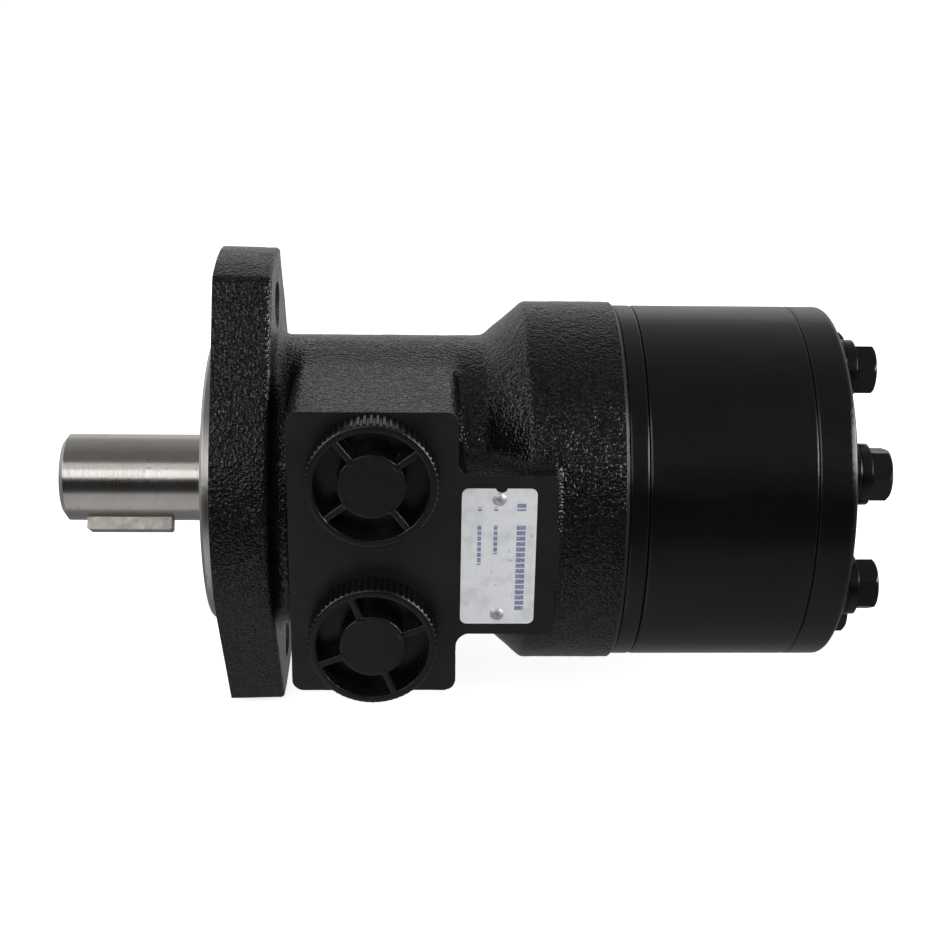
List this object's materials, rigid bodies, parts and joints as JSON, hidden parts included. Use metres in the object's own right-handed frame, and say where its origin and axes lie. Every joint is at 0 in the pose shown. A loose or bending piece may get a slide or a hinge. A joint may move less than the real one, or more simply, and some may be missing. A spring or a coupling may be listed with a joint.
{
  "type": "orbital hydraulic motor",
  "caption": "Orbital hydraulic motor with a keyed output shaft, an oval two-bolt flange, two plugged side ports and a round bolted gear section.",
  "frame": {"origin": "on the shaft axis, in the plane of the flange's mounting face", "axes": "+X along the shaft axis from the shaft end to the rear cover, -Y out of the ports, +Z along the line of the two mounting holes"},
  "size_m": [0.2329, 0.1133, 0.136],
  "materials": {
    "cast_paint": "semi-gloss black over a sand-cast skin",
    "smooth_paint": "satin black over turned steel",
    "fastener_paint": "gloss black over bolts and washers",
    "ground_steel": "ground steel",
    "key_steel": "bright drawn steel",
    "hard_steel": "hardened and ground",
    "forged_steel": "hardened, dull",
    "bearing_steel": "polished",
    "cage_brass": "satin",
    "black_rubber": "matte",
    "brown_rubber": "matte",
    "white_plastic": "matte",
    "label_aluminium": "brushed",
    "rivet_steel": "bright",
    "plug_plastic": "moulded satin black"
  },
  "bodies": {
    "motor_body": {"housing": "cast_paint", "dust_seal": "black_rubber", "backup_ring": "white_plastic", "shaft_seal": "brown_rubber", "thrust_race_front": "bearing_steel", "geroler_ring": "smooth_paint", "spacer_plate": "smooth_paint", "end_cover": "smooth_paint", "housing_o_ring": "black_rubber", "plate_o_ring": "black_rubber", "cover_o_ring": "black_rubber", "cover_bolts": "fastener_paint", "spring_washers": "fastener_paint", "flat_washers": "fastener_paint", "check_seats": "hard_steel", "name_plate": "label_aluminium", "plate_rivets": "rivet_steel"},
    "shaft": {"output_shaft": "ground_steel", "shaft_key": "key_steel", "thrust_race_rear": "bearing_steel"},
    "thrust_bearing": {"thrust_cage": "cage_brass", "thrust_needles": "bearing_steel"},
    "rotor_orbit": {"rotor_spacer": "hard_steel"},
    "rotor": {"star_rotor": "hard_steel"},
    "link": {"drive_link": "forged_steel"},
    "roller_1_body": {"roller_1": "bearing_steel"},
    "roller_2_body": {"roller_2": "bearing_steel"},
    "roller_3_body": {"roller_3": "bearing_steel"},
    "roller_4_body": {"roller_4": "bearing_steel"},
    "roller_5_body": {"roller_5": "bearing_steel"},
    "roller_6_body": {"roller_6": "bearing_steel"},
    "roller_7_body": {"roller_7": "bearing_steel"},
    "plug_a": {"port_plug_a": "plug_plastic"},
    "plug_b": {"port_plug_b": "plug_plastic"},
    "check_valve_a": {"check_ball_a": "bearing_steel"},
    "check_valve_b": {"check_ball_b": "bearing_steel"}
  },
  "joints": [
    {"name": "shaft_spin", "type": "hinge", "parent": "motor_body", "child": "shaft", "pos_m": [0, 0, 0], "axis": [1, 0, 0], "continuous": true},
    {"name": "thrust_bearing_spin", "type": "hinge", "parent": "motor_body", "child": "thrust_bearing", "pos_m": [0.014, 0, 0], "axis": [1, 0, 0], "continuous": true},
    {"name": "rotor_orbit_spin", "type": "hinge", "parent": "motor_body", "child": "rotor_orbit", "pos_m": [0.14, 0, 0], "axis": [1, 0, 0], "continuous": true},
    {"name": "rotor_spin", "type": "hinge", "parent": "rotor_orbit", "child": "rotor", "pos_m": [0.14, 0, 0.0028], "axis": [1, 0, 0], "continuous": true},
    {"name": "link_spin", "type": "hinge", "parent": "rotor_orbit", "child": "link", "pos_m": [0.07, 0, 0], "axis": [0.9992, 0, 0.0389], "continuous": true},
    {"name": "roller_1_spin", "type": "hinge", "parent": "motor_body", "child": "roller_1_body", "pos_m": [0.14, -0.0315, 0], "axis": [1, 0, 0], "continuous": true},
    {"name": "roller_2_spin", "type": "hinge", "parent": "motor_body", "child": "roller_2_body", "pos_m": [0.14, -0.01964, -0.02463], "axis": [1, 0, 0], "continuous": true},
    {"name": "roller_3_spin", "type": "hinge", "parent": "motor_body", "child": "roller_3_body", "pos_m": [0.14, 0.00701, -0.03071], "axis": [1, 0, 0], "continuous": true},
    {"name": "roller_4_spin", "type": "hinge", "parent": "motor_body", "child": "roller_4_body", "pos_m": [0.14, 0.02838, -0.01367], "axis": [1, 0, 0], "continuous": true},
    {"name": "roller_5_spin", "type": "hinge", "parent": "motor_body", "child": "roller_5_body", "pos_m": [0.14, 0.02838, 0.01367], "axis": [1, 0, 0], "continuous": true},
    {"name": "roller_6_spin", "type": "hinge", "parent": "motor_body", "child": "roller_6_body", "pos_m": [0.14, 0.00701, 0.03071], "axis": [1, 0, 0], "continuous": true},
    {"name": "roller_7_spin", "type": "hinge", "parent": "motor_body", "child": "roller_7_body", "pos_m": [0.14, -0.01964, 0.02463], "axis": [1, 0, 0], "continuous": true},
    {"name": "plug_a_out", "type": "slide", "parent": "motor_body", "child": "plug_a", "axis": [0, -1, 0], "range_m": [0, 0.02]},
    {"name": "plug_b_out", "type": "slide", "parent": "motor_body", "child": "plug_b", "axis": [0, -1, 0], "range_m": [0, 0.02]},
    {"name": "check_ball_a_lift", "type": "slide", "parent": "motor_body", "child": "check_valve_a", "axis": [-1, 0, 0], "range_m": [0, 0.0012]},
    {"name": "check_ball_b_lift", "type": "slide", "parent": "motor_body", "child": "check_valve_b", "axis": [-1, 0, 0], "range_m": [0, 0.0012]}
  ],
  "couplings": [
    {"joint": "thrust_bearing_spin", "follows": "shaft_spin", "ratio": 0.5},
    {"joint": "rotor_orbit_spin", "follows": "shaft_spin", "ratio": -6},
    {"joint": "rotor_spin", "follows": "shaft_spin", "ratio": 7},
    {"joint": "link_spin", "follows": "shaft_spin", "ratio": 7},
    {"joint": "roller_1_spin", "follows": "shaft_spin", "ratio": -4},
    {"joint": "roller_2_spin", "follows": "shaft_spin", "ratio": -4},
    {"joint": "roller_3_spin", "follows": "shaft_spin", "ratio": -4},
    {"joint": "roller_4_spin", "follows": "shaft_spin", "ratio": -4},
    {"joint": "roller_5_spin", "follows": "shaft_spin", "ratio": -4},
    {"joint": "roller_6_spin", "follows": "shaft_spin", "ratio": -4},
    {"joint": "roller_7_spin", "follows": "shaft_spin", "ratio": -4}
  ]
}
